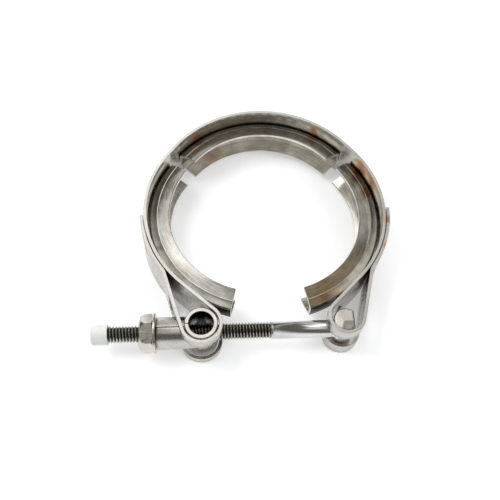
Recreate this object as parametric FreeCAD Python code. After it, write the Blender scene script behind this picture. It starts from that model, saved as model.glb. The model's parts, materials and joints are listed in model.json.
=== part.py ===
"""T-bolt V-band clamp, lying flat and slackened.

Frame: origin at the centre of the top retainer's arc, on the clamp's mid-plane.
+Z is the axis of the pipes that it joins, and the bolt runs along X in front of the ring (-Y).
All sizes are in millimetres, all angles in degrees. Ring angles are measured from +Y,
positive towards -X (the trunnion's side).
"""
import FreeCAD, Part
import math
import os

V = FreeCAD.Vector

# ---- band: one strip of spring-hard stainless steel ----
band_outer_r = 54.3         # outside of the ring
band_t = 1.5                # strip thickness
band_w = 24.0               # strip width
flat_run = 6.0              # straight stretch between two retainers
flat_angle = 52.5           # ring angle of that stretch
free_end_left = 93.4        # where the folded-back ends stop, on the outside of the ring
free_end_right = 91.5
fold_left = 125.5           # where the folded-back ends leave the ring again
fold_right = 127.0
fold_r = 6.0                # bend there, at the middle of the strip
layer_gap = 0.35            # between the ring and the folded-back end welded to it

# ---- retainers: three V-section segments, spot-welded inside the band ----
sheet_t = 1.5               # retainer sheet
seat_gap = 0.1              # between the band and a retainer's web
shoulder_h = 9.4            # outside height of the channel behind the lips
shoulder_depth = 3.8        # from the web's outside to the crease
lip_reach = 6.6             # from the crease to the lip's edge, along the radius
lip_angle = 21.0            # flare of each lip
web_bend_r = 3.0            # outside of the bend between web and shoulder
bend_facets = 2             # flats that stand for that bend
side_end_angle = 164.5      # where the two side retainers stop, beside the bolt

# ---- loops: the band's ends wrap round the trunnion and the bolt's head ----
bolt_offset = 9.0           # from the outside of the ring to the bolt's axis
trunnion_x = -31.6          # axis of the trunnion
head_loop_x = 32.9          # axis of the loop that holds the T-head
head_loop_back = 1.2        # that axis lies this far behind the bolt's
loop_ahead = 0.5            # and the trunnion's loop lies this far ahead of it
loop_gap = 0.6              # between the trunnion and its loop
head_loop_gap = 1.6         # between the T-head and its loop, all round if it were centred
head_gap = 1.2              # what is left of it on the side that the head pulls on
slot_gap = 0.5              # clearance of the slots above and below what passes through
slot_wrap_r = 11.5          # reach of the slot round the loop, from the loop's axis
slot_leg_reach = 20.5       # reach of the slot along the outer leg
slot_corner_r = 3.0         # corners at the slot's end

# ---- trunnion: one folded sheet, a cross tube and two half-shells round the bolt ----
trunnion_t = 1.95           # sheet
trunnion_r = 7.4            # outside of the cross tube
trunnion_h = 21.4           # height of the cross tube
leg_bore_gap = 1.3          # play of the bolt in the leg
leg_reach = 19.9            # from the trunnion's axis to the end of the leg
seam = 0.35                 # open seam between the two halves
rim_bevel = 0.3             # broken edges of the cross tube

# ---- T-bolt ----
bolt_r = 3.97               # 5/16 inch shank
bolt_end_x = -79.7          # end of the thread
head_r = 5.4                # cross head
head_h = 21.6               # length of the cross head
head_flat = 3.8             # from its axis to the flat on its back
head_bevel = 0.8            # broken ends of the cross head
neck_r = 1.2                # fillet between the head and the shank
bolt_point = 1.0            # chamfer on the bolt's point

# ---- washer, nut and thread cap ----
washer_r = 9.2
washer_t = 1.2
washer_gap = 0.08           # running clearance of the washer on the bolt
washer_play = 0.3           # the slack nut leaves the washer this far off the leg
nut_flats = 15.4            # across flats
nut_turn = 21.0             # where the slack nut stands: one corner, turned up from +Y
nut_h = 6.5
nut_dome_h = 3.2            # crimped, domed end of the lock nut
nut_dome_r = 5.7            # radius of the dome's flat end
nut_chamfer_h = 0.7         # washer-side chamfer
thread_gap = 0.05           # nut and cap over the thread
cap_len = 7.3
cap_wall = 0.6
cap_end_wall = 0.8
cap_bevel = 0.7


def heading(angle):
    """Unit vector along a plan heading given in radians."""
    return V(math.cos(angle), math.sin(angle), 0)


def left_of(angle):
    """Unit vector to the left of a plan heading."""
    return V(-math.sin(angle), math.cos(angle), 0)


def ring_point(centre, radius, ring_angle):
    """Point at a ring angle: 0 is +Y, positive towards -X."""
    a = math.radians(90 + ring_angle)
    return V(centre.x + radius * math.cos(a), centre.y + radius * math.sin(a), 0)


class Strip:
    """A strip of sheet seen on edge: arcs joined by straight runs that are tangent to them.

    turns is a list of (centre, r). r is positive where the strip turns left about the centre,
    negative where it turns right, and 0 for an end point.
    """

    def __init__(self, turns, start=None, end=None):
        self.turns = turns
        angles = []
        for (c1, r1), (c2, r2) in zip(turns, turns[1:]):
            d = c2.sub(c1)
            lean = round((r2 - r1) / d.Length, 12)  # exactly 1 where two turns touch
            lean = max(-1.0, min(1.0, lean))
            angles.append(math.atan2(d.y, d.x) - math.asin(lean))
        self.before = [start if start is not None else angles[0]] + angles
        self.after = angles + [end if end is not None else angles[-1]]

    def sweep(self, i):
        """Signed turn of arc i, in radians."""
        r = self.turns[i][1]
        full = 2 * math.pi
        turn = (self.after[i] - self.before[i]) % full
        if full - turn < 1e-9:
            turn = 0.0
        return turn if r > 0 or turn == 0.0 else turn - full

    def point(self, i, angle, offset):
        """Point of turn i where the strip heads along angle, moved left by offset."""
        centre, r = self.turns[i]
        return centre.add(left_of(angle).multiply(offset - r))

    def side(self, offset):
        """Edges of the strip's line, moved left by offset."""
        edges = []
        last = None
        for i, (_, r) in enumerate(self.turns):
            first = self.point(i, self.before[i], offset)
            if last is not None and first.distanceToPoint(last) > 1e-5:
                edges.append(Part.LineSegment(last, first).toShape())
            last = first
            if r != 0 and abs(self.sweep(i)) > 1e-9:
                turn = self.sweep(i)
                mid = self.point(i, self.before[i] + turn / 2, offset)
                last = self.point(i, self.before[i] + turn, offset)
                edges.append(Part.Arc(first, mid, last).toShape())
        return edges

    def ends(self, offset):
        """First and last point of the line moved left by offset."""
        last = len(self.turns) - 1
        return self.point(0, self.before[0], offset), self.point(last, self.after[last], offset)

    def face(self, thickness):
        """Section of the strip, as a face."""
        half = thickness / 2
        left_start, left_end = self.ends(half)
        right_start, right_end = self.ends(-half)
        caps = [Part.LineSegment(left_start, right_start).toShape(),
                Part.LineSegment(left_end, right_end).toShape()]
        edges = Part.__sortEdges__(self.side(half) + caps + self.side(-half))
        return Part.Face(Part.Wire(edges))


def offset_line(points, offset):
    """Points of a polyline moved left by offset, with mitred corners."""
    moved = []
    for i, p in enumerate(points):
        before = p.sub(points[i - 1]).normalize() if i > 0 else None
        after = points[i + 1].sub(p).normalize() if i + 1 < len(points) else None
        u = before if before is not None else after
        w = after if after is not None else before
        normal = V(-u.y - w.y, u.x + w.x, 0).normalize()
        stretch = offset / (normal.x * -u.y + normal.y * u.x)
        moved.append(p.add(normal.multiply(stretch)))
    return moved


def bend_points(before, corner, after, radius, facets):
    """Corners of the flats that stand for a bend at a corner of a sheet's middle line."""
    u = before.sub(corner).normalize()
    w = after.sub(corner).normalize()
    half = math.acos(max(-1.0, min(1.0, u.dot(w)))) / 2
    centre = corner.add(u.add(w).normalize().multiply(radius / math.sin(half)))
    first = corner.add(V(u).multiply(radius / math.tan(half))).sub(centre)
    last = corner.add(V(w).multiply(radius / math.tan(half))).sub(centre)
    start = math.atan2(first.y, first.x)
    turn = (math.atan2(last.y, last.x) - start + math.pi) % (2 * math.pi) - math.pi
    angles = [start + turn * k / facets for k in range(facets + 1)]
    return [centre.add(heading(a).multiply(radius)) for a in angles]


def save(shape, node):
    """Write one sub-part."""
    if not shape.isValid():
        shape = shape.copy()
        shape.fix(1e-6, 1e-6, 1e-6)
    shape.exportStep("parts/%s.step" % node)
    print(node, "solids", len(shape.Solids), "volume", round(shape.Volume, 1), "valid", shape.isValid())


# ---- places worked out from the sizes ----
band_mid_r = band_outer_r - band_t / 2
pin_y = -(band_outer_r + bolt_offset)
web_r = band_outer_r - band_t - seat_gap
layer_r = band_outer_r + layer_gap + band_t / 2
shift = flat_run * math.cos(math.radians(flat_angle)), flat_run * math.sin(math.radians(flat_angle))
top_centre = V(0, 0, 0)
left_centre = V(-shift[0], -shift[1], 0)
right_centre = V(shift[0], -shift[1], 0)
trunnion_loop_r = trunnion_r + loop_gap + band_t / 2
head_loop_r = head_r + head_loop_gap + band_t / 2
trunnion_axis = V(trunnion_x, pin_y - loop_ahead, 0)
head_loop_axis = V(head_loop_x, pin_y + head_loop_back, 0)
head_x = head_loop_x - head_loop_gap + head_gap
leg_bore_r = bolt_r + leg_bore_gap
leg_r = leg_bore_r + trunnion_t
leg_end_x = trunnion_x - leg_reach
washer_x = leg_end_x - washer_play - washer_t
leg_slot_h = 2 * (leg_r + slot_gap)
head_slot_h = 2 * (bolt_r + slot_gap)


def band_strip():
    """The strip's line, from the free end on the trunnion's side to the one on the head's side."""
    left_fold = ring_point(left_centre, layer_r + fold_r, fold_left)
    right_fold = ring_point(right_centre, layer_r + fold_r, -fold_right)
    turns = [
        (left_centre, layer_r),
        (left_fold, -fold_r),
        (trunnion_axis, trunnion_loop_r),
        (left_centre, -band_mid_r),
        (top_centre, -band_mid_r),
        (right_centre, -band_mid_r),
        (head_loop_axis, head_loop_r),
        (right_fold, -fold_r),
        (right_centre, layer_r),
    ]
    start = math.radians(180 + free_end_left)
    return Strip(turns, start, math.radians(180 - free_end_right))


def slot_tool(strip, i, slot_h, outer_is_before):
    """Tool for the slot in the loop at turn i: round the wrap and along the outer leg."""
    axis = strip.turns[i][0]
    wrap = Part.makeCylinder(slot_wrap_r, slot_h, V(axis.x, axis.y, -slot_h / 2))
    angle = strip.before[i] if outer_is_before else strip.after[i]
    depth = 4 * band_t
    box = Part.makeBox(slot_leg_reach, depth, slot_h, V(0, -depth / 2, -slot_h / 2))
    end_edges = [e for e in box.Edges
                 if all(abs(v.Point.x - slot_leg_reach) < 1e-6 for v in e.Vertexes)
                 and abs(e.Vertexes[0].Point.z - e.Vertexes[1].Point.z) < 1e-6]
    box = box.makeFillet(slot_corner_r, end_edges)
    turn = math.degrees(angle) + (180 if outer_is_before else 0)
    box.rotate(V(0, 0, 0), V(0, 0, 1), turn)
    box.translate(strip.point(i, angle, 0))
    return wrap.fuse(box)


def make_band():
    """The folded strip with its slotted loops."""
    strip = band_strip()
    solid = strip.face(band_t).extrude(V(0, 0, band_w))
    solid.translate(V(0, 0, -band_w / 2))
    solid = solid.cut(slot_tool(strip, 2, leg_slot_h, True))
    return solid.cut(slot_tool(strip, 6, head_slot_h, False))


def retainer_section():
    """V section in the XY plane, radius along X and height along Y."""
    half = sheet_t / 2
    mid_h = shoulder_h / 2 - half
    web = web_r - half
    crease = web_r - shoulder_depth
    lip = V(crease - lip_reach, mid_h + lip_reach * math.tan(math.radians(lip_angle)), 0)
    upper = bend_points(V(crease, mid_h, 0), V(web, mid_h, 0), V(web, 0, 0), web_bend_r - half, bend_facets)
    line = [lip, V(crease, mid_h, 0)] + upper
    line += [V(p.x, -p.y, 0) for p in reversed(line)]
    outline = offset_line(line, half) + list(reversed(offset_line(line, -half)))
    return Part.Face(Part.makePolygon(outline + outline[:1]))


def make_retainer(centre, first, last):
    """V-section segment between two ring angles: web, two shoulders and two flared lips."""
    section = retainer_section()
    section.rotate(V(0, 0, 0), V(1, 0, 0), 90)
    section.rotate(V(0, 0, 0), V(0, 0, 1), 90 + first)
    solid = section.revolve(V(0, 0, 0), V(0, 0, 1), last - first)
    solid.translate(centre)
    return solid


def make_trunnion():
    """Cross tube whose two sides run on as half-shells round the bolt, open along one seam."""
    tube = Part.makeCylinder(trunnion_r, trunnion_h, V(trunnion_x, pin_y, -trunnion_h / 2))
    leg = Part.makeCylinder(leg_r, leg_reach, V(leg_end_x, pin_y, 0), V(1, 0, 0))
    tube = tube.makeChamfer(rim_bevel, [e for e in tube.Edges if e.Length > trunnion_h + 1])
    solid = tube.fuse(leg)
    bore_r = trunnion_r - trunnion_t
    solid = solid.cut(Part.makeCylinder(bore_r, trunnion_h + 2,
                                        V(trunnion_x, pin_y, -trunnion_h / 2 - 1)))
    passage = leg_reach + 2 * trunnion_r
    solid = solid.cut(Part.makeCylinder(leg_bore_r, passage, V(leg_end_x - 1, pin_y, 0), V(1, 0, 0)))
    slit = Part.makeBox(leg_reach + 1, seam, trunnion_h + 2,
                        V(leg_end_x - 1, pin_y - seam / 2, -trunnion_h / 2 - 1))
    return solid.cut(slit)


def make_t_bolt():
    """Shank with a cross head that is flat at its back, a flared neck and a chamfered point."""
    head = Part.makeCylinder(head_r, head_h, V(head_x, pin_y, -head_h / 2))
    head = head.makeChamfer(head_bevel, [e for e in head.Edges if e.Length > head_h + 1])
    back = Part.makeBox(head_r, 2 * head_r, head_h, V(head_x + head_flat, pin_y - head_r, -head_h / 2))
    head = head.cut(back)
    shank = Part.makeCylinder(bolt_r, head_x - bolt_end_x, V(bolt_end_x, pin_y, 0), V(1, 0, 0))
    point = [e for e in shank.Edges if all(abs(v.Point.x - bolt_end_x) < 1e-6 for v in e.Vertexes)]
    shank = shank.makeChamfer(bolt_point, point[:1])
    collar_x = head_x - math.sqrt(head_r ** 2 - bolt_r ** 2)
    collar = Part.makeCone(bolt_r, bolt_r + neck_r, neck_r, V(collar_x - neck_r, pin_y, 0), V(1, 0, 0))
    return shank.fuse(collar).fuse(head).removeSplitter()


def make_washer():
    """Flat round washer that bears on the end of the trunnion's leg."""
    start = V(washer_x, pin_y, 0)
    disc = Part.makeCylinder(washer_r, washer_t, start, V(1, 0, 0))
    return disc.cut(Part.makeCylinder(bolt_r + washer_gap, washer_t, start, V(1, 0, 0)))


def make_nut():
    """Hexagon lock nut with a domed, crimped outer end, turned from a hexagon bar."""
    corner_r = nut_flats / math.sqrt(3)
    turns = [math.radians(nut_turn + 60 * k) for k in range(7)]
    corners = [V(washer_x, pin_y + corner_r * math.cos(a), corner_r * math.sin(a)) for a in turns]
    bar = Part.Face(Part.makePolygon(corners)).extrude(V(-nut_h, 0, 0))
    flat_r = nut_flats / 2
    base = V(washer_x, pin_y, 0)
    dome_r = corner_r - nut_dome_r
    shoulder = base.add(V(-nut_h + nut_dome_h * (1 - math.sqrt(0.5)), nut_dome_r + dome_r * math.sqrt(0.5), 0))
    outline = [base,
               base.add(V(0, flat_r, 0)),
               base.add(V(-nut_chamfer_h, corner_r, 0)),
               base.add(V(nut_dome_h - nut_h, corner_r, 0)),
               shoulder,
               base.add(V(-nut_h, nut_dome_r, 0)),
               base.add(V(-nut_h, 0, 0)),
               base]
    turned = Part.Face(Part.makePolygon(outline)).revolve(base, V(1, 0, 0), 360)
    bore = Part.makeCylinder(bolt_r + thread_gap, nut_h + 2, V(washer_x + 1, pin_y, 0), V(-1, 0, 0))
    return bar.common(turned).cut(bore)


def make_cap():
    """Soft push-on cap over the end of the thread."""
    mouth_x = bolt_end_x - cap_end_wall - thread_gap + cap_len
    start = V(mouth_x, pin_y, 0)
    outside = Part.makeCylinder(bolt_r + thread_gap + cap_wall, cap_len, start, V(-1, 0, 0))
    far = [e for e in outside.Edges if all(abs(v.Point.x - mouth_x + cap_len) < 1e-6 for v in e.Vertexes)]
    outside = outside.makeChamfer(cap_bevel, far[:1])
    inside = Part.makeCylinder(bolt_r + thread_gap, cap_len - cap_end_wall, start, V(-1, 0, 0))
    return outside.cut(inside)


os.makedirs("parts", exist_ok=True)
save(make_band(), "band")
save(make_retainer(top_centre, -flat_angle, flat_angle), "retainer_top")
save(make_retainer(left_centre, flat_angle, side_end_angle), "retainer_left")
save(make_retainer(right_centre, -side_end_angle, -flat_angle), "retainer_right")
save(make_trunnion(), "trunnion")
save(make_t_bolt(), "t_bolt")
save(make_washer(), "nut_washer")
save(make_nut(), "lock_nut")
save(make_cap(), "thread_cap")
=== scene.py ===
"""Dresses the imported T-bolt V-band clamp: finishes, rolled thread, weld tints, studio and camera."""
import json
import logging
import math
from dataclasses import dataclass, field
from enum import Enum
from typing import Any, Dict, List, Optional, Sequence, Tuple

import bmesh
import bpy
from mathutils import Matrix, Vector


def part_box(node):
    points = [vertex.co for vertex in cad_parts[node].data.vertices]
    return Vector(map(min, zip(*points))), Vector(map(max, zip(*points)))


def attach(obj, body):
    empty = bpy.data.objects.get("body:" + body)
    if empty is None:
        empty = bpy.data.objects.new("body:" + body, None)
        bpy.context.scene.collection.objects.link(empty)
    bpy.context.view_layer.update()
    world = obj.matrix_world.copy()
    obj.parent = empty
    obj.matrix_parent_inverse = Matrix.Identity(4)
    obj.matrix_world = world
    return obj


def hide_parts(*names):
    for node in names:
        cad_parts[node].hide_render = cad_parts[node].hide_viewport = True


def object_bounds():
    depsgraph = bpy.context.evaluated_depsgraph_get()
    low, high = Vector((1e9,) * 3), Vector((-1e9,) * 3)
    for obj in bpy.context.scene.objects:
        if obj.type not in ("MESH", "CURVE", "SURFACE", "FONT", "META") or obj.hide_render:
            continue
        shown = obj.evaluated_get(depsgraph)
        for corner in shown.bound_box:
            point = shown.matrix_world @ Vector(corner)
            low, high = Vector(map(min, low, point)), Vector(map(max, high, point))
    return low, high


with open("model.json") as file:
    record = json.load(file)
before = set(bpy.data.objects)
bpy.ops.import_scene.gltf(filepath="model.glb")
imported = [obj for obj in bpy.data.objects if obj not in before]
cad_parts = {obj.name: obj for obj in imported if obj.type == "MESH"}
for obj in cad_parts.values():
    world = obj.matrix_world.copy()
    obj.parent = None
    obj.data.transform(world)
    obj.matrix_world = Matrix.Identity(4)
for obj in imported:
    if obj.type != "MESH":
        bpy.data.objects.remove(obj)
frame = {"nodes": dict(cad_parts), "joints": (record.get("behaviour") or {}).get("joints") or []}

log = logging.getLogger("clamp")
CAD_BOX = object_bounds()
MM = 0.001

Socket = bpy.types.NodeSocket
Point = Tuple[float, float, float]


def srgb(hex_code: str) -> Tuple[float, float, float, float]:
    """Turn an sRGB hex colour into a linear one.

    Args:
        hex_code: six hex digits, such as "C8C6C0".

    Returns:
        Linear red, green and blue, and an alpha of 1.
    """
    parts = [int(hex_code[i:i + 2], 16) / 255 for i in (0, 2, 4)]
    linear = [p / 12.92 if p <= 0.04045 else ((p + 0.055) / 1.055) ** 2.4 for p in parts]
    return linear[0], linear[1], linear[2], 1.0


def add_node(tree: bpy.types.NodeTree, kind: str, settings: Optional[Dict[str, Any]] = None,
             inputs: Optional[Dict[Any, Any]] = None) -> bpy.types.Node:
    """Add one node with its settings, values and links.

    Args:
        tree: node tree that receives the node.
        kind: Blender's type name of the node.
        settings: properties of the node.
        inputs: input name or number to a value, or to what feeds it: a socket, or a node's first output.

    Returns:
        The new node.
    """
    node = tree.nodes.new(kind)
    for name, value in (settings or {}).items():
        setattr(node, name, value)
    for name, value in (inputs or {}).items():
        feed = value.outputs[0] if isinstance(value, bpy.types.Node) else value
        if isinstance(feed, Socket):
            tree.links.new(feed, node.inputs[name])
        else:
            node.inputs[name].default_value = feed
    return node


class Grain(Enum):
    """Which way the fine marks of a steel surface run."""

    ROUND_RING = "along the strip, round the ring"
    ALONG_BOLT = "along the bolt"
    CROSS_CUT = "across a sawn end"
    NONE = "tumbled, no direction"


@dataclass(frozen=True)
class HeatTint:
    """Oxide colours round spot welds: straw, then brown and blue towards the nugget.

    Each weld is (place, reach) in millimetres. A weld that lies off the surface shows only its outer
    colours there, since they follow the true distance.
    """

    welds: Tuple[Tuple[Point, float], ...] = ()
    strength: float = 0.7
    cloud_mm: float = 3.8462
    raggedness: float = 0.5
    fades_from: float = 0.55
    nugget: str = "8C8A92"
    rim: str = "C9C4B8"
    rings: Tuple[Tuple[float, str], ...] = (
        (0.18, "5F6676"), (0.36, "7A5A58"), (0.55, "B77F4F"), (0.75, "D3AF80"))

    def colour(self, tree: bpy.types.NodeTree, place: Socket, steel: Socket) -> Socket:
        """Mix the tint over the steel's colour.

        Args:
            tree: the material's node tree.
            place: object coordinates.
            steel: the colour of clean steel.

        Returns:
            The tinted colour.
        """
        if not self.welds:
            return steel
        nearest = None
        for weld, reach in self.welds:
            gap = add_node(tree, "ShaderNodeVectorMath", {"operation": "DISTANCE"}, {
                0: place, 1: [c * MM for c in weld]})
            share = add_node(tree, "ShaderNodeMath", {"operation": "DIVIDE"}, {
                0: gap.outputs["Value"], 1: reach * MM})
            nearest = share if nearest is None else add_node(
                tree, "ShaderNodeMath", {"operation": "MINIMUM"}, {0: nearest, 1: share})
        cloud = add_node(tree, "ShaderNodeTexNoise", inputs={
            "Vector": place, "Scale": 1 / (self.cloud_mm * MM), "Detail": 2.0})
        ragged = add_node(tree, "ShaderNodeMath", {"operation": "MULTIPLY_ADD"}, {
            0: cloud, 1: self.raggedness, 2: nearest})
        spread = add_node(tree, "ShaderNodeMapRange", inputs={
            "Value": ragged, "From Min": self.raggedness / 2, "From Max": 1 + self.raggedness / 2})
        ramp = add_node(tree, "ShaderNodeValToRGB", inputs={"Fac": spread})
        stops = ramp.color_ramp.elements
        stops[0].color = srgb(self.nugget)
        stops[1].color = srgb(self.rim)
        for at, hex_code in self.rings:
            stops.new(at).color = srgb(hex_code)
        fade = add_node(tree, "ShaderNodeMapRange", inputs={
            "Value": spread, "From Min": self.fades_from, "From Max": 1.0,
            "To Min": self.strength, "To Max": 0.0})
        mix = add_node(tree, "ShaderNodeMix", {"data_type": "RGBA"}, {"Factor": fade, 6: steel, 7: ramp})
        return mix.outputs[2]


@dataclass(frozen=True)
class Shade:
    """Painted shade for the light lost deep in a seam. This plain one is for parts without such a seam."""

    # Colour of the painted shade where it is full.
    hex_code: str = "1A1917"

    def depth(self, tree: bpy.types.NodeTree, place: Socket) -> Optional[bpy.types.Node]:
        """How deep in the seam a point lies, from 0 to 1, or None where there is no seam."""
        return None

    def colour(self, tree: bpy.types.NodeTree, place: Socket, steel: Socket) -> Socket:
        """Darken the colour in the seam with painted shade.

        Args:
            tree: the material's node tree.
            place: object coordinates.
            steel: the colour so far.

        Returns:
            The shaded colour.
        """
        depth = self.depth(tree, place)
        if depth is None:
            return steel
        # Mix the painted shade's dark colour over the steel by depth.
        mix = add_node(tree, "ShaderNodeMix", {"data_type": "RGBA"}, {
            "Factor": depth, 6: steel, 7: srgb(self.hex_code)})
        return mix.outputs[2]


@dataclass(frozen=True)
class BendShade(Shade):
    """Painted shade on the outer side of a retainer's bends, which faces the strip."""

    starts_at: float = 0.6
    full_at: float = 1.0

    def depth(self, tree: bpy.types.NodeTree, place: Socket) -> bpy.types.Node:
        """How far the surface leans outwards.

        Args:
            tree: the material's node tree.
            place: object coordinates.

        Returns:
            A node that gives 0 to 1.
        """
        facing = add_node(tree, "ShaderNodeNewGeometry").outputs["Normal"]
        plan = add_node(tree, "ShaderNodeVectorMath", {"operation": "MULTIPLY"}, {0: place, 1: (1, 1, 0)})
        outward = add_node(tree, "ShaderNodeVectorMath", {"operation": "NORMALIZE"}, {0: plan})
        lean = add_node(tree, "ShaderNodeVectorMath", {"operation": "DOT_PRODUCT"}, {0: facing, 1: outward})
        return add_node(tree, "ShaderNodeMapRange", inputs={
            "Value": lean.outputs["Value"], "From Min": self.starts_at, "From Max": self.full_at})


@dataclass(frozen=True)
class AxisShade(Shade):
    """Painted shade near an axis: on the wall of a bore, or in the valleys of a thread."""

    centre: Point = (0.0, 0.0, 0.0)
    across: Point = (1.0, 1.0, 0.0)
    clear_r: float = 1.0
    full_r: float = 0.5

    def depth(self, tree: bpy.types.NodeTree, place: Socket) -> bpy.types.Node:
        """How near the axis the surface is.

        Args:
            tree: the material's node tree.
            place: object coordinates.

        Returns:
            A node that gives 0 to 1.
        """
        offset = add_node(tree, "ShaderNodeVectorMath", {"operation": "SUBTRACT"}, {
            0: place, 1: [c * MM for c in self.centre]})
        flat = add_node(tree, "ShaderNodeVectorMath", {"operation": "MULTIPLY"}, {0: offset, 1: self.across})
        radius = add_node(tree, "ShaderNodeVectorMath", {"operation": "LENGTH"}, {0: flat})
        return add_node(tree, "ShaderNodeMapRange", inputs={
            "Value": radius.outputs["Value"], "From Min": self.clear_r * MM, "From Max": self.full_r * MM})


@dataclass(frozen=True)
class StainlessSteel:
    """Stainless steel sheet or bar.

    Metallic 1. Clean 304 steel is a slightly warm grey. Tumbling and handling leave satin patches,
    and rolling or drawing leaves fine lines one way, which are drawn a few times too coarse to show.
    """

    name: str
    light: str
    dark: str
    roughness: Tuple[float, float]
    patch_mm: float
    line_mm: float
    line_depth_mm: float
    grain: Grain = Grain.NONE
    tint: HeatTint = HeatTint()
    # Painted shade, if any, darkened into the base colour.
    shade: Shade = Shade()
    streaks: float = 0.4
    bump: float = 0.35
    noise_span: Tuple[float, float] = (0.3, 0.7)
    marks_per_radian: float = 9.0

    def build(self) -> bpy.types.Material:
        """Make the material."""
        material = bpy.data.materials.new(self.name)
        material.use_nodes = True
        tree = material.node_tree
        tree.nodes.clear()
        place = add_node(tree, "ShaderNodeTexCoord").outputs["Object"]
        patches = add_node(tree, "ShaderNodeTexNoise", inputs={
            "Vector": place, "Scale": 1 / (self.patch_mm * MM), "Detail": 3.0, "Roughness": 0.6})
        lines = add_node(tree, "ShaderNodeTexNoise", inputs={
            "Vector": self.line_coordinates(tree, place), "Scale": 1.0, "Detail": 2.0})
        stain = add_node(tree, "ShaderNodeMix", inputs={0: self.streaks, 2: patches, 3: lines})
        ramp = add_node(tree, "ShaderNodeValToRGB", inputs={"Fac": stain})
        for stop, at, hex_code in zip(ramp.color_ramp.elements, self.noise_span, (self.dark, self.light)):
            stop.position = at
            stop.color = srgb(hex_code)
        tinted = self.tint.colour(tree, place, ramp.outputs["Color"])
        rough = add_node(tree, "ShaderNodeMapRange", inputs={
            "Value": lines, "From Min": self.noise_span[0], "From Max": self.noise_span[1],
            "To Min": self.roughness[0], "To Max": self.roughness[1]})
        bump = add_node(tree, "ShaderNodeBump", inputs={
            "Strength": self.bump, "Distance": self.line_depth_mm * MM, "Height": lines})
        # The base colour carries the weld tint and the painted shade.
        surface = add_node(tree, "ShaderNodeBsdfPrincipled", inputs={
            "Base Color": self.shade.colour(tree, place, tinted), "Metallic": 1.0, "Roughness": rough,
            "Normal": bump})
        add_node(tree, "ShaderNodeOutputMaterial", inputs={"Surface": surface})
        return material

    def line_coordinates(self, tree: bpy.types.NodeTree, place: Socket) -> bpy.types.Node:
        """Coordinates for the fine lines: short across them, long along them.

        Args:
            tree: the material's node tree.
            place: object coordinates.

        Returns:
            A node that gives a vector in line widths.
        """
        fine = 1 / (self.line_mm * MM)
        if self.grain is Grain.ROUND_RING:
            x, y, z = add_node(tree, "ShaderNodeSeparateXYZ", inputs={"Vector": place}).outputs
            turn = add_node(tree, "ShaderNodeMath", {"operation": "ARCTAN2"}, {0: y, 1: x})
            plan = add_node(tree, "ShaderNodeVectorMath", {"operation": "MULTIPLY"}, {0: place, 1: (1, 1, 0)})
            radius = add_node(tree, "ShaderNodeVectorMath", {"operation": "LENGTH"}, {0: plan})
            across = add_node(tree, "ShaderNodeCombineXYZ", inputs={
                0: turn, 1: radius.outputs["Value"], 2: z})
            return add_node(tree, "ShaderNodeVectorMath", {"operation": "MULTIPLY"}, {
                0: across, 1: (self.marks_per_radian, fine, fine)})
        stretch = {Grain.ALONG_BOLT: (0.03, 1.0, 1.0), Grain.CROSS_CUT: (1.0, 0.08, 0.5),
                   Grain.NONE: (1.0, 1.0, 1.0)}[self.grain]
        return add_node(tree, "ShaderNodeVectorMath", {"operation": "MULTIPLY"}, {
            0: place, 1: [fine * s for s in stretch]})


@dataclass(frozen=True)
class SoftPlastic:
    """Soft white polyethylene, moulded: IOR 1.51, a waxy sheen and a faint glow through the wall."""

    name: str
    light: str = "F4F4F1"
    dark: str = "E6E6E2"
    roughness: float = 0.42
    skin_mm: float = 1.1111
    skin_depth_mm: float = 0.02
    glow_mm: float = 1.0

    def build(self) -> bpy.types.Material:
        """Make the material."""
        material = bpy.data.materials.new(self.name)
        material.use_nodes = True
        tree = material.node_tree
        tree.nodes.clear()
        place = add_node(tree, "ShaderNodeTexCoord").outputs["Object"]
        skin = add_node(tree, "ShaderNodeTexNoise", inputs={
            "Vector": place, "Scale": 1 / (self.skin_mm * MM), "Detail": 3.0})
        tone = add_node(tree, "ShaderNodeMix", {"data_type": "RGBA"}, {
            "Factor": skin, 6: srgb(self.light), 7: srgb(self.dark)})
        bump = add_node(tree, "ShaderNodeBump", inputs={
            "Strength": 0.2, "Distance": self.skin_depth_mm * MM, "Height": skin})
        surface = add_node(tree, "ShaderNodeBsdfPrincipled", inputs={
            "Base Color": tone.outputs[2], "Roughness": self.roughness, "IOR": 1.51,
            "Subsurface Weight": 0.15, "Subsurface Scale": self.glow_mm * MM, "Normal": bump})
        add_node(tree, "ShaderNodeOutputMaterial", inputs={"Surface": surface})
        return material


def dress(node: str, material: bpy.types.Material) -> None:
    """Give a CAD node its finish.

    Args:
        node: name of the CAD node.
        material: the finish.
    """
    for place in frame["nodes"][node].material_slots:
        place.material = material
    log.info("%s wears %s", node, material.name)


def lathe(bm: bmesh.types.BMesh, profile: Sequence[Tuple[float, float]], axis_y: float, sides: int) -> None:
    """Add a closed shape turned about a line along X to a mesh.

    Args:
        bm: mesh that receives the shape.
        profile: (x, radius) from one end to the other, in millimetres; a radius of 0 closes an end.
        axis_y: where the line lies across the clamp.
        sides: facets round it.
    """
    rings = []
    for x, radius in profile:
        ring = []
        for i in range(1 if radius == 0 else sides):
            a = 2 * math.pi * i / sides
            place = (x, axis_y + radius * math.cos(a), radius * math.sin(a))
            ring.append(bm.verts.new([c * MM for c in place]))
        rings.append(ring)
    for low, high in zip(rings, rings[1:]):
        for i in range(sides):
            j = (i + 1) % sides
            loop = []
            for vert in (low[i % len(low)], low[j % len(low)], high[j % len(high)], high[i % len(high)]):
                if vert not in loop:
                    loop.append(vert)
            if len(loop) > 2:
                bm.faces.new(loop)


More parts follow.
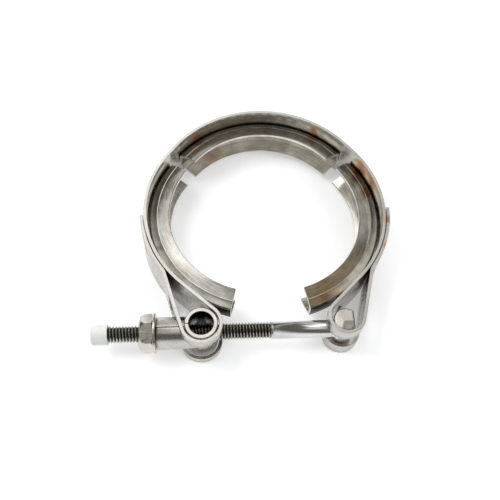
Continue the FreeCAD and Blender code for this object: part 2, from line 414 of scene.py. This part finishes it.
def to_object(name: str, bm: bmesh.types.BMesh, *materials: bpy.types.Material) -> bpy.types.Object:
    """Turn a finished bmesh into a linked object with outward faces.

    Args:
        name: name of the piece.
        bm: the mesh; it is freed.
        materials: its finishes.

    Returns:
        The object.
    """
    bmesh.ops.recalc_face_normals(bm, faces=bm.faces)
    mesh = bpy.data.meshes.new(name)
    bm.to_mesh(mesh)
    bm.free()
    for material in materials:
        mesh.materials.append(material)
    piece = bpy.data.objects.new(name, mesh)
    bpy.context.scene.collection.objects.link(piece)
    return piece


def grow(name: str, tree: bpy.types.NodeTree, sizes: Dict[str, Any],
         outline: Sequence[Tuple[float, float]] = (), sharp_from: float = 28.0) -> bpy.types.Object:
    """Run a Geometry Nodes tree once and keep its result as a plain mesh.

    Args:
        name: name of the piece.
        tree: the node group.
        sizes: input name to value.
        outline: closed section that the tree sweeps, in millimetres, where it sweeps one.
        sharp_from: angle in degrees from which an edge is shaded sharp.

    Returns:
        An object with a plain mesh and no modifier.
    """
    start = bpy.data.meshes.new(name + "_seed")
    count = len(outline)
    corners = [(u * MM, v * MM, 0.0) for u, v in outline]
    start.from_pydata(corners, [(i, (i + 1) % count) for i in range(count)], [])
    seed = bpy.data.objects.new(name, start)
    bpy.context.scene.collection.objects.link(seed)
    modifier = seed.modifiers.new(name, "NODES")
    modifier.node_group = tree
    for item in tree.interface.items_tree:
        if item.item_type == "SOCKET" and item.in_out == "INPUT" and item.name in sizes:
            modifier[item.identifier] = sizes[item.name]
    bpy.context.view_layer.update()
    evaluated = seed.evaluated_get(bpy.context.evaluated_depsgraph_get())
    mesh = bpy.data.meshes.new_from_object(evaluated)
    mesh.name = name
    mesh.set_sharp_from_angle(angle=math.radians(sharp_from))
    seed.modifiers.remove(modifier)
    seed.data = mesh
    return seed


def break_edges(node: str, width: float, join: float = 0.002, sharp_from: float = 40.0) -> None:
    """Break the sharp edges of a CAD node with a narrow bevel, which catches the light.

    Args:
        node: name of the CAD node.
        width: width of the broken edge, in millimetres.
        join: how near two corners are to be one, in millimetres.
        sharp_from: angle in degrees from which an edge is broken.
    """
    piece = frame["nodes"][node]
    weld = piece.modifiers.new("join_faces", "WELD")
    weld.merge_threshold = join * MM
    bevel = piece.modifiers.new("broken_edges", "BEVEL")
    bevel.width = width * MM
    bevel.segments = 2
    bevel.limit_method = "ANGLE"
    bevel.angle_limit = math.radians(sharp_from)
    bevel.harden_normals = True


def round_corners(points: Sequence[Tuple[float, float]], radii: Dict[int, float],
                  steps: int = 6) -> List[Tuple[float, float]]:
    """Round chosen corners of an open line.

    Args:
        points: corners of the line.
        radii: corner's number to the radius of its bend.
        steps: chords in each bend.

    Returns:
        The line's points, with each bend as short chords.
    """
    line = []
    for i, corner in enumerate(Vector(p) for p in points):
        if i not in radii:
            line.append(tuple(corner))
            continue
        u = (Vector(points[i - 1]) - corner).normalized()
        w = (Vector(points[i + 1]) - corner).normalized()
        half = u.angle(w) / 2
        centre = corner + (u + w).normalized() * (radii[i] / math.sin(half))
        first = corner + u * (radii[i] / math.tan(half)) - centre
        last = corner + w * (radii[i] / math.tan(half)) - centre
        line += [tuple(centre + first.slerp(last, k / steps)) for k in range(steps + 1)]
    return line


def beside(line: Sequence[Tuple[float, float]], offset: float) -> List[Tuple[float, float]]:
    """Move an open line sideways.

    Args:
        line: points of the line.
        offset: distance to its left.

    Returns:
        The moved points, with mitred corners.
    """
    moved = []
    for i, point in enumerate(line):
        before = Vector(point) - Vector(line[i - 1]) if i else None
        after = Vector(line[i + 1]) - Vector(point) if i + 1 < len(line) else None
        u = (before or after).normalized()
        w = (after or before).normalized()
        normal = Vector((-u.y - w.y, u.x + w.x)).normalized()
        moved.append(tuple(Vector(point) + normal * (offset / normal.dot(Vector((-u.y, u.x))))))
    return moved


def new_tree(name: str, sizes: Dict[str, str]) -> Tuple[bpy.types.NodeTree, bpy.types.Node, bpy.types.Node]:
    """Start a Geometry Nodes group with named inputs.

    Args:
        name: name of the group.
        sizes: input name to socket type, without "NodeSocket".

    Returns:
        The group, its input node and its output node.
    """
    tree = bpy.data.node_groups.new(name, "GeometryNodeTree")
    tree.interface.new_socket("Geometry", in_out="INPUT", socket_type="NodeSocketGeometry")
    tree.interface.new_socket("Geometry", in_out="OUTPUT", socket_type="NodeSocketGeometry")
    for key, kind in sizes.items():
        tree.interface.new_socket(key, in_out="INPUT", socket_type="NodeSocket" + kind)
    return tree, tree.nodes.new("NodeGroupInput"), tree.nodes.new("NodeGroupOutput")


@dataclass
class Bolt:
    """T-bolt: turned shank and cross head, with a rolled 5/16-18 thread grown by Geometry Nodes.

    The cross head's ends are cut at a slight slant: each falls from a ridge that runs back from one
    corner, where three facets meet. `ridge` is how far that corner lies from the head's axis, along and
    across the bolt.
    """

    shank_r: float = 3.97
    pitch: float = 25.4 / 18
    thread_depth: float = 0.92
    thread_end: float = 0.5
    run_out: float = 1.6
    end_taper: float = 1.0
    root_and_crest: Tuple[float, float] = (0.06, 0.44)
    around: int = 40
    rings_per_pitch: int = 10
    neck_r: float = 1.2
    neck_inside: float = 0.4
    neck_chords: int = 6
    head_r: float = 5.4
    head_flat: float = 3.8
    head_bevel: float = 0.9
    bevel_chords: int = 5
    facets: int = 72
    ridge: Tuple[float, float] = (1.2, 0.9)
    rear_slope: float = 0.045
    front_slope: float = 0.13
    left_slopes: Tuple[float, float] = (0.16, 0.07)
    low: Vector = field(default_factory=lambda: Vector(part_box("t_bolt")[0]) / MM)
    high: Vector = field(default_factory=lambda: Vector(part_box("t_bolt")[1]) / MM)

    @property
    def axis_y(self) -> float:
        """Where the bolt's axis lies."""
        return (self.low.y + self.high.y) / 2

    @property
    def head_x(self) -> float:
        """Axis of the cross head, whose front stands on the shank's side."""
        return self.high.x - self.head_flat

    def thread_tree(self, material: bpy.types.Material) -> bpy.types.NodeTree:
        """Build the thread's node group: a fine cylinder pressed in along a helix.

        The cut runs out towards the shank, and the free end is chamfered.

        Args:
            material: finish of the thread.

        Returns:
            The node group.
        """
        tree, given, result = new_tree("rolled_thread", {
            "Length": "Float", "Radius": "Float", "Depth": "Float", "Pitch": "Float", "Run Out": "Float",
            "Point": "Float", "Around": "Int", "Rings": "Int", "Start": "Vector"})
        known = {socket.name: socket for socket in given.outputs}
        blank = add_node(tree, "GeometryNodeMeshCylinder", inputs={
            "Vertices": known["Around"], "Side Segments": known["Rings"], "Radius": known["Radius"],
            "Depth": known["Length"]})
        here = add_node(tree, "GeometryNodeInputPosition")
        known["x"], known["y"], known["z"] = add_node(tree, "ShaderNodeSeparateXYZ", inputs={0: here}).outputs
        root, crest = self.root_and_crest
        for name, operation, first, second in (
                ("angle", "ARCTAN2", "y", "x"),
                ("turns", "DIVIDE", "angle", 2 * math.pi),
                ("pitches", "DIVIDE", "z", "Pitch"),
                ("phase", "SUBTRACT", "pitches", "turns"),
                ("wave", "PINGPONG", "phase", 0.5),
                ("below crest", "SUBTRACT", crest, "wave"),
                ("flank", "DIVIDE", "below crest", crest - root),
                ("on crest", "MAXIMUM", "flank", 0.0),
                ("press", "MINIMUM", "on crest", 1.0),
                ("half", "MULTIPLY", "Length", 0.5),
                ("to shank", "SUBTRACT", "half", "z"),
                ("share", "DIVIDE", "to shank", "Run Out"),
                ("fade", "MINIMUM", "share", 1.0),
                ("pressed", "MULTIPLY", "press", "fade"),
                ("cut", "MULTIPLY", "pressed", "Depth"),
                ("to end", "ADD", "half", "z"),
                ("chamfer", "SUBTRACT", "Point", "to end"),
                ("drop", "MAXIMUM", "chamfer", "cut"),
                ("left over", "SUBTRACT", "Radius", "drop"),
                ("shrink", "DIVIDE", "left over", "Radius")):
            known[name] = add_node(tree, "ShaderNodeMath", {"operation": operation}, {
                0: known.get(first, first), 1: known.get(second, second)})
        scale = add_node(tree, "ShaderNodeCombineXYZ", inputs={
            0: known["shrink"], 1: known["shrink"], 2: 1.0})
        place = add_node(tree, "ShaderNodeVectorMath", {"operation": "MULTIPLY"}, {0: here, 1: scale})
        rolled = add_node(tree, "GeometryNodeSetPosition", inputs={"Geometry": blank, "Position": place})
        lift = add_node(tree, "ShaderNodeCombineXYZ", inputs={0: known["half"]})
        centre = add_node(tree, "ShaderNodeVectorMath", {"operation": "ADD"}, {0: known["Start"], 1: lift})
        laid = add_node(tree, "GeometryNodeTransform", inputs={
            "Geometry": rolled, "Translation": centre, "Rotation": (0, math.pi / 2, 0)})
        smooth = add_node(tree, "GeometryNodeSetShadeSmooth", inputs={"Geometry": laid})
        real = add_node(tree, "GeometryNodeRealizeInstances", inputs={0: smooth})
        painted = add_node(tree, "GeometryNodeSetMaterial", inputs={"Geometry": real, "Material": material})
        tree.links.new(painted.outputs[0], result.inputs[0])
        return tree

    def thread(self, material: bpy.types.Material) -> bpy.types.Object:
        """Grow the threaded stretch.

        Args:
            material: finish of the thread.

        Returns:
            The thread's piece.
        """
        length = self.thread_end - self.low.x
        return grow("bolt_thread", self.thread_tree(material), {
            "Length": length * MM, "Radius": self.shank_r * MM, "Depth": self.thread_depth * MM,
            "Pitch": self.pitch * MM, "Run Out": self.run_out * MM, "Point": self.end_taper * MM,
            "Around": self.around, "Rings": round(length / self.pitch * self.rings_per_pitch),
            "Start": [self.low.x * MM, self.axis_y * MM, 0.0]})

    def head_outline(self, inset: float) -> List[Tuple[float, float]]:
        """Outline of the cross head seen from its end: round, with a flat back.

        Args:
            inset: how far it lies inside the full outline.

        Returns:
            Points round the outline, from the middle of the front.
        """
        r, flat = self.head_r - inset, self.head_flat - inset
        turns = [math.pi + 2 * math.pi * i / self.facets for i in range(self.facets)]
        return [(min(r * math.cos(a), flat), r * math.sin(a)) for a in turns]

    def end_drop(self, x: float, y: float) -> float:
        """Drop of a slanting end below its ridge.

        Args:
            x: place along the bolt, from the head's axis.
            y: place across it.

        Returns:
            The drop, in millimetres.
        """
        from_x, from_y = x + self.ridge[0], y + self.ridge[1]
        rear, front = self.rear_slope * from_y, -self.front_slope * from_y
        left = -self.left_slopes[0] * from_x - self.left_slopes[1] * from_y
        return max(rear, front, left, 0.0) if from_x < 0 else max(rear, front, 0.0)

    def cross_head(self, bm: bmesh.types.BMesh) -> None:
        """Add the cross head, a closed bar with rounded rims and slanting end faces.

        Args:
            bm: mesh that receives it.
        """
        half, b = self.high.z, self.head_bevel
        turns = [math.pi / 2 * i / self.bevel_chords for i in range(self.bevel_chords + 1)]
        rounding = [(half - b + b * math.sin(a), b - b * math.cos(a)) for a in turns]
        rings = []
        for z, inset in [(-z, i) for z, i in reversed(rounding)] + rounding:
            ring = []
            for x, y in self.head_outline(inset):
                drop = self.end_drop(x, y) * max(0.0, 1 - (half - abs(z)) / b)
                place = (self.head_x + x, self.axis_y + y, z - math.copysign(drop, z))
                ring.append(bm.verts.new([c * MM for c in place]))
            rings.append(ring)
        for low, high in zip(rings, rings[1:]):
            for i in range(self.facets):
                j = (i + 1) % self.facets
                bm.faces.new((low[i], low[j], high[j], high[i])).smooth = True
        for ring, z in ((rings[0], -half), (rings[-1], half)):
            corner = (self.head_x - self.ridge[0], self.axis_y - self.ridge[1], z)
            peak = bm.verts.new([c * MM for c in corner])
            for i in range(self.facets):
                bm.faces.new((ring[i], ring[(i + 1) % self.facets], peak))

    def shank_and_head(self, shank: bpy.types.Material, head: bpy.types.Material) -> bpy.types.Object:
        """Turn the plain shank with its neck, and the cross head with its rounded ends.

        Args:
            shank: finish of the shank.
            head: finish of the head.

        Returns:
            One piece with both closed shapes.
        """
        bm = bmesh.new()
        collar = self.head_x - math.sqrt(self.head_r ** 2 - self.shank_r ** 2)
        shank_r, neck_r = self.shank_r, self.neck_r
        profile = [(self.thread_end, 0.0), (self.thread_end, shank_r), (collar - neck_r, shank_r)]
        for i in range(1, self.neck_chords + 1):
            a = math.pi / 2 * i / self.neck_chords
            profile.append((collar - neck_r * (1 - math.sin(a)), shank_r + neck_r * (1 - math.cos(a))))
        profile += [(self.head_x, shank_r + neck_r * self.neck_inside), (self.head_x, 0.0)]
        lathe(bm, profile, self.axis_y, self.facets)
        shank_faces = len(bm.faces)
        self.cross_head(bm)
        bm.faces.ensure_lookup_table()
        for face in bm.faces[:shank_faces]:
            face.smooth = len(face.verts) == 4
        for face in bm.faces[shank_faces:]:
            face.material_index = 1
        return to_object("bolt_shank_and_head", bm, shank, head)

    def build(self) -> List[bpy.types.Object]:
        """Make the bolt's two pieces and let them stand for the CAD bolt."""
        # Drawn bar: bright and smooth, so that long soft highlights run down the bolt.
        shank = StainlessSteel("stainless_drawn_shank", "DEDEDD", "BBBBB9", (0.12, 0.22), patch_mm=14.0,
                               line_mm=0.35, line_depth_mm=0.010, grain=Grain.ALONG_BOLT).build()
        # Cut and tumbled bar ends: satin, with short marks across the cut.
        head = StainlessSteel("stainless_sawn_head", "D6D3CD", "B3AFA6", (0.24, 0.42), patch_mm=4.0,
                              line_mm=0.50, line_depth_mm=0.030, grain=Grain.CROSS_CUT).build()
        # Rolled thread: bright crests over grey roots of painted shade, so that every turn reads.
        roots = AxisShade("45443F", (0.0, self.axis_y, 0.0), (0.0, 1.0, 1.0), clear_r=3.7, full_r=3.1)
        thread = StainlessSteel("stainless_rolled_thread", "D2D2CC", "A8A79F", (0.16, 0.28), patch_mm=5.0,
                                line_mm=0.40, line_depth_mm=0.008, shade=roots).build()
        pieces = [self.thread(thread), self.shank_and_head(shank, head)]
        for piece in pieces:
            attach(piece, "bolt")
            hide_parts("t_bolt")
            log.info("%s: %d faces", piece.name, len(piece.data.polygons))
        return pieces


@dataclass(frozen=True)
class FormedSection:
    """Section of a roll-formed retainer: web, two shoulders and two flared lips."""

    web_r: float = 52.7
    sheet: float = 1.5
    half_h: float = 4.7
    crease_r: float = 47.6
    lip_reach: float = 5.3
    lip_angle: float = 25.5
    web_bend: float = 1.35
    crease_bend: float = 2.2
    broken_edge: float = 0.22

    def outline(self) -> List[Tuple[float, float]]:
        """Closed outline as (height, radius), with rounded bends and broken cut edges."""
        mid_h, web = self.half_h - self.sheet / 2, self.web_r - self.sheet / 2
        rise = self.lip_reach * math.tan(math.radians(self.lip_angle))
        upper = [(mid_h + rise, self.crease_r - self.lip_reach), (mid_h, self.crease_r), (mid_h, web)]
        corners = upper + [(-z, r) for z, r in reversed(upper)]
        line = round_corners(corners, {1: self.crease_bend, 2: self.web_bend, 3: self.web_bend,
                                       4: self.crease_bend})
        outline = []
        for side in (beside(line, self.sheet / 2), beside(line, -self.sheet / 2)[::-1]):
            first, second = Vector(side[0]), Vector(side[1])
            last, before = Vector(side[-1]), Vector(side[-2])
            side[0] = tuple(first + (second - first).normalized() * self.broken_edge)
            side[-1] = tuple(last + (before - last).normalized() * self.broken_edge)
            outline.append(side)
        ends = []
        for a, b in ((outline[0][-1], outline[1][0]), (outline[1][-1], outline[0][0])):
            across = Vector(b) - Vector(a)
            along = Vector((-across.y, across.x)).normalized() * self.broken_edge
            if along.dot(Vector(a) - Vector(line[len(line) // 2])) < 0:
                along = -along
            step = across.normalized() * self.broken_edge
            ends.append([tuple(Vector(a) + along + step), tuple(Vector(b) + along - step)])
        return outline[0] + ends[0] + outline[1] + ends[1]


class Arc(Enum):
    """Which of the ring's three arcs, seen from the front with the bolt below."""

    TOP = "opposite the bolt"
    LEFT = "the trunnion's side"
    RIGHT = "the T-head's side"


@dataclass
class Ring:
    """Strip ring with its three retainers and the spot welds that hold them together.

    A weld's row gives its arc, its ring angle, how far it lies outside the strip, its height and the
    reach of its colours, in degrees and millimetres.
    """

    strip_welds: Tuple[Tuple[Arc, float, float, float, float], ...] = (
        (Arc.LEFT, 103.0, 1.85, 9.5, 3.6), (Arc.LEFT, 109.0, 1.85, 5.5, 3.6),
        (Arc.RIGHT, 98.5, 1.85, 10.5, 4.2), (Arc.RIGHT, 114.0, 1.85, 10.5, 3.2),
        (Arc.RIGHT, 62.0, 2.0, 6.5, 8.5), (Arc.RIGHT, 74.0, 2.0, 6.5, 8.5),
        (Arc.TOP, -33.0, 2.0, 6.5, 6.5), (Arc.TOP, 38.0, 2.0, 6.5, 6.5),
    )
    sheet_welds: Tuple[Tuple[Arc, float, float, float, float], ...] = (
        (Arc.RIGHT, 61.0, -0.8, 4.5, 6.5), (Arc.RIGHT, 152.0, -0.8, 4.5, 9.0),
        (Arc.TOP, 31.373, -6.279, -6.0, 9.0),
    )
    flat_shift: Tuple[float, float] = (-3.65, -4.76)
    flat_angle: float = 52.5
    side_end: float = 164.5
    step_deg: float = 1.5
    arc_r: float = 1.0
    strip_edge: float = 0.12
    outer_r: float = field(default_factory=lambda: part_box("band")[1][1] / MM)
    section: FormedSection = FormedSection()

    def tint(self, rows: Sequence[Tuple[Arc, float, float, float, float]], strength: float) -> HeatTint:
        """Place the weld colours round the ring.

        Args:
            rows: the welds.
            strength: how strong the colours are, from 0 to 1.

        Returns:
            The tint for a finish.
        """
        welds = []
        for arc, angle, outside, z, reach in rows:
            a = math.radians(90 + angle)
            shift_x, shift_y = (0.0, 0.0) if arc is Arc.TOP else self.flat_shift
            x = shift_x + (self.outer_r + outside) * math.cos(a)
            y = shift_y + (self.outer_r + outside) * math.sin(a)
            welds.append(((-x if arc is Arc.RIGHT else x, y, z), reach))
        return HeatTint(tuple(welds), strength)

    def sweep_tree(self, material: bpy.types.Material) -> bpy.types.NodeTree:
        """Build the node group that sweeps a section along an arc of the ring.

        Args:
            material: finish of the retainer.

        Returns:
            The node group.
        """
        tree, given, result = new_tree("formed_retainer", {
            "Centre": "Vector", "First Angle": "Float", "Sweep": "Float", "Steps": "Int"})
        size = given.outputs
        profile = add_node(tree, "GeometryNodeMeshToCurve", inputs={"Mesh": size["Geometry"]})
        arc = add_node(tree, "GeometryNodeCurveArc", {"mode": "RADIUS"}, {
            "Resolution": size["Steps"], "Radius": self.arc_r * MM, "Start Angle": size["First Angle"],
            "Sweep Angle": size["Sweep"]})
        swept = add_node(tree, "GeometryNodeCurveToMesh", inputs={
            "Curve": arc, "Profile Curve": profile, "Fill Caps": True})
        placed = add_node(tree, "GeometryNodeTransform", inputs={
            "Geometry": swept, "Translation": size["Centre"]})
        smooth = add_node(tree, "GeometryNodeSetShadeSmooth", inputs={"Geometry": placed})
        real = add_node(tree, "GeometryNodeRealizeInstances", inputs={0: smooth})
        painted = add_node(tree, "GeometryNodeSetMaterial", inputs={"Geometry": real, "Material": material})
        tree.links.new(painted.outputs[0], result.inputs[0])
        return tree

    def retainer(self, node: str, centre: Tuple[float, float], first: float, last: float,
                 material: bpy.types.Material) -> bpy.types.Object:
        """Sweep one retainer and let it stand for its CAD node.

        Args:
            node: name of the CAD node.
            centre: centre of its arc, in millimetres.
            first: ring angle where it starts.
            last: ring angle where it ends.
            material: its finish.

        Returns:
            The retainer's piece.
        """
        outline = [(r - self.arc_r, z) for z, r in self.section.outline()]
        piece = grow(node + "_formed", self.sweep_tree(material), {
            "Centre": [centre[0] * MM, centre[1] * MM, 0.0], "First Angle": math.radians(90 + first),
            "Sweep": math.radians(last - first), "Steps": round((last - first) / self.step_deg) + 1}, outline)
        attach(piece, "ring")
        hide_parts(node)
        log.info("%s: %d faces", piece.name, len(piece.data.polygons))
        return piece

    def build(self) -> None:
        """Dress the strip and sweep the three retainers."""
        # Rolled strip: satin, with lines round the ring, and straw and brown marks over its spot welds.
        band = StainlessSteel("stainless_rolled_strip", "D0CECA", "AFABA3", (0.22, 0.36), patch_mm=16.0,
                              line_mm=0.50, line_depth_mm=0.010, grain=Grain.ROUND_RING,
                              tint=self.tint(self.strip_welds, 0.75)).build()
        # Roll-formed sheet: a bright face, and painted shade on the outer bend, a dark line against the
        # strip.
        sheet = StainlessSteel("stainless_roll_formed_sheet", "E2DFD8", "9A958B", (0.12, 0.26), patch_mm=12.0,
                               line_mm=0.60, line_depth_mm=0.012, grain=Grain.ROUND_RING,
                               tint=self.tint(self.sheet_welds, 0.5), shade=BendShade()).build()
        dress("band", band)
        break_edges("band", self.strip_edge)
        side_x, side_y = self.flat_shift
        self.retainer("retainer_top", (0.0, 0.0), -self.flat_angle, self.flat_angle, sheet)
        self.retainer("retainer_left", (side_x, side_y), self.flat_angle, self.side_end, sheet)
        self.retainer("retainer_right", (-side_x, side_y), -self.side_end, -self.flat_angle, sheet)


@dataclass
class Fastening:
    """Trunnion, washer, lock nut and thread cap: CAD nodes that only need their finishes."""

    # Radii where the bore's painted shade begins and where it is full, in millimetres.
    bore_clear_r: float = 5.8
    bore_full_r: float = 5.55
    edges: Tuple[Tuple[str, float], ...] = (
        ("trunnion", 0.15), ("lock_nut", 0.12), ("nut_washer", 0.15), ("thread_cap", 0.12))

    def build(self) -> None:
        """Dress the four nodes."""
        pivot = next(joint["pos_m"] for joint in frame["joints"] if joint["name"] == "trunnion_pivot")
        bore = AxisShade(centre=tuple(c / MM for c in pivot), clear_r=self.bore_clear_r,
                         full_r=self.bore_full_r)
        # Stamped and rolled sheet: satin outside, and painted shade nearly black inside the cross tube.
        dress("trunnion", StainlessSteel("stainless_stamped_sheet", "D0CEC9", "A9A6A0", (0.18, 0.34),
                                         patch_mm=7.0, line_mm=0.50, line_depth_mm=0.012, shade=bore).build())
        # Turned and tumbled: smooth enough that each facet mirrors its own part of the surroundings.
        nut = StainlessSteel("stainless_turned_nut", "DBD8D2", "B5AFA6", (0.12, 0.26), patch_mm=4.0,
                             line_mm=0.40, line_depth_mm=0.010).build()
        dress("nut_washer", nut)
        dress("lock_nut", nut)
        # Soft white cap: the only thing that isn't metal, matt and slightly see-through.
        dress("thread_cap", SoftPlastic("polyethylene_moulded_white").build())
        for node, width in self.edges:
            break_edges(node, width)


@dataclass(frozen=True)
class Card:
    """A soft card or screen round the table, as the steel mirrors it."""

    towards: Point
    core: float
    reach: float
    level: float
    colour: str = "FFFFFF"


@dataclass(frozen=True)
class Lamp:
    """A square soft lamp that faces the clamp, with its place and side in millimetres."""

    name: str
    at: Point
    side: float
    watts: float


@dataclass
class Studio:
    """Pale floor, soft lamps, white surroundings and the camera.

    The ceiling's rows go from the horizon, 0.5, up to the zenith, 1.
    """

    camera_at: Point = (-28.55, -184.37, 293.64)
    camera_turn: Point = (29.1045, -2.5041, -2.8148)
    lens: float = 50.4
    floor_z: float = CAD_BOX[0][2] / MM
    floor_half: float = 1500.0
    floor_hex: str = "F2F2F2"
    floor_glow: float = 0.36
    room_hex: str = "E8EAEC"
    room_level: float = 0.55
    horizon: Tuple[float, str] = (0.5, "F0F0F0")
    zenith: Tuple[float, str] = (1.0, "8E8C88")
    between: Tuple[Tuple[float, str], ...] = (
        (0.56, "E8E8E8"), (0.64, "6E6D6C"), (0.75, "6C6962"), (0.88, "76736C"))
    cards: Tuple[Card, ...] = (
        Card((0.10, -0.55, 0.83), 10.0, 24.0, 0.42, "DDD3C6"),
        Card((0.51, -0.14, 0.83), 10.0, 28.0, 0.48, "D8C4A4"),
        Card((-0.10, 0.50, 0.86), 13.0, 26.0, 1.7),
        Card((-0.35, 0.30, 0.88), 7.0, 17.0, 2.2),
        Card((-0.35, -0.18, 0.90), 8.0, 20.0, 0.95),
        Card((-0.46, 0.48, 0.75), 6.0, 13.0, 1.0),
        Card((0.50, 0.50, 0.70), 7.0, 15.0, 0.6),
        Card((-0.34, 0.86, 0.38), 7.0, 16.0, 0.85),
        Card((0.42, 0.86, 0.28), 8.0, 18.0, 0.95, "E2EAF0"),
    )
    lamps: Tuple[Lamp, ...] = (
        Lamp("key", (-420.0, 120.0, 620.0), 420.0, 2.6),
        Lamp("fill", (480.0, -260.0, 420.0), 380.0, 1.2),
        Lamp("back", (120.0, 620.0, 380.0), 420.0, 1.4),
    )

    def camera(self) -> None:
        """Place the camera in front of and above the clamp."""
        data = bpy.data.cameras.new("camera")
        data.lens = self.lens
        data.sensor_width = 36.0
        data.clip_start = 0.01
        view = bpy.data.objects.new("camera", data)
        view.location = [c * MM for c in self.camera_at]
        view.rotation_euler = [math.radians(c) for c in self.camera_turn]
        bpy.context.scene.collection.objects.link(view)
        bpy.context.scene.camera = view

    def floor(self) -> None:
        """Lay a white floor under the strip's edge, which shows the shadows."""
        material = bpy.data.materials.new("white_card")
        material.use_nodes = True
        tree = material.node_tree
        tree.nodes.clear()
        path = add_node(tree, "ShaderNodeLightPath").outputs
        seen = add_node(tree, "ShaderNodeMath", {"operation": "MAXIMUM"}, {
            0: path["Is Camera Ray"], 1: path["Is Glossy Ray"]})
        level = add_node(tree, "ShaderNodeMath", {"operation": "MULTIPLY"}, {0: seen, 1: self.floor_glow})
        card = add_node(tree, "ShaderNodeBsdfDiffuse", inputs={"Color": srgb(self.floor_hex)})
        glow = add_node(tree, "ShaderNodeEmission", inputs={"Color": (1, 1, 1, 1), "Strength": level})
        both = add_node(tree, "ShaderNodeAddShader", inputs={0: card, 1: glow})
        add_node(tree, "ShaderNodeOutputMaterial", inputs={"Surface": both})
        bm = bmesh.new()
        half, z = self.floor_half * MM, self.floor_z * MM
        corners = [bm.verts.new((x * half, y * half, z)) for x, y in ((-1, -1), (1, -1), (1, 1), (-1, 1))]
        bm.faces.new(corners)
        to_object("floor", bm, material)

    def world(self) -> None:
        """White for the camera, and a studio with a darker ceiling for what the steel mirrors."""
        world = bpy.data.worlds.new("studio")
        bpy.context.scene.world = world
        world.use_nodes = True
        tree = world.node_tree
        tree.nodes.clear()
        path = add_node(tree, "ShaderNodeLightPath").outputs
        way = add_node(tree, "ShaderNodeTexCoord").outputs["Generated"]
        up = add_node(tree, "ShaderNodeSeparateXYZ", inputs={0: way}).outputs["Z"]
        height = add_node(tree, "ShaderNodeMath", {"operation": "MULTIPLY_ADD"}, {0: up, 1: 0.5, 2: 0.5})
        ramp = add_node(tree, "ShaderNodeValToRGB", inputs={"Fac": height})
        stops = ramp.color_ramp.elements
        for stop, (at, hex_code) in zip(stops, (self.horizon, self.zenith)):
            stop.position = at
            stop.color = srgb(hex_code)
        for at, hex_code in self.between:
            stops.new(at).color = srgb(hex_code)
        light = ramp.outputs["Color"]
        for card in self.cards:
            facing = add_node(tree, "ShaderNodeVectorMath", {"operation": "DOT_PRODUCT"}, {
                0: way, 1: Vector(card.towards).normalized()})
            amount = add_node(tree, "ShaderNodeMapRange", {"interpolation_type": "SMOOTHSTEP"}, {
                "Value": facing.outputs["Value"], "From Min": math.cos(math.radians(card.reach)),
                "From Max": math.cos(math.radians(card.core))})
            glow = [c * card.level for c in srgb(card.colour)[:3]] + [1.0]
            mix = add_node(tree, "ShaderNodeMix", {"data_type": "RGBA"}, {
                "Factor": amount, 6: light, 7: glow})
            light = mix.outputs[2]
        white = add_node(tree, "ShaderNodeBackground", inputs={"Color": (1, 1, 1, 1), "Strength": 1.0})
        soft = add_node(tree, "ShaderNodeBackground", inputs={
            "Color": srgb(self.room_hex), "Strength": self.room_level})
        mirrored = add_node(tree, "ShaderNodeBackground", inputs={"Color": light, "Strength": 1.0})
        lit = add_node(tree, "ShaderNodeMixShader", inputs={0: path["Is Glossy Ray"], 1: soft, 2: mirrored})
        seen = add_node(tree, "ShaderNodeMath", {"operation": "MAXIMUM"}, {
            0: path["Is Camera Ray"], 1: path["Is Transmission Ray"]})
        out = add_node(tree, "ShaderNodeMixShader", inputs={0: seen, 1: lit, 2: white})
        add_node(tree, "ShaderNodeOutputWorld", inputs={"Surface": out})

    def hang(self, lamp: Lamp) -> None:
        """Hang one lamp. It isn't mirrored in the steel, which mirrors the soft cards instead.

        Args:
            lamp: the lamp.
        """
        data = bpy.data.lights.new(lamp.name, "AREA")
        data.size = lamp.side * MM
        data.energy = lamp.watts
        light = bpy.data.objects.new(lamp.name, data)
        light.location = [c * MM for c in lamp.at]
        light.rotation_euler = (-light.location).to_track_quat("-Z", "Y").to_euler()
        light.visible_glossy = False
        bpy.context.scene.collection.objects.link(light)

    def build(self) -> None:
        """Set up the camera, the floor, the surroundings and the lamps."""
        bpy.context.scene.view_settings.view_transform = "Standard"
        self.camera()
        self.floor()
        self.world()
        for lamp in self.lamps:
            self.hang(lamp)


def main() -> None:
    """Build the studio and dress the clamp, piece by piece."""
    logging.basicConfig(level=logging.INFO, format="%(name)s: %(message)s")
    Studio().build()
    Ring().build()
    Bolt().build()
    Fastening().build()


if __name__ == "__main__":
    main()
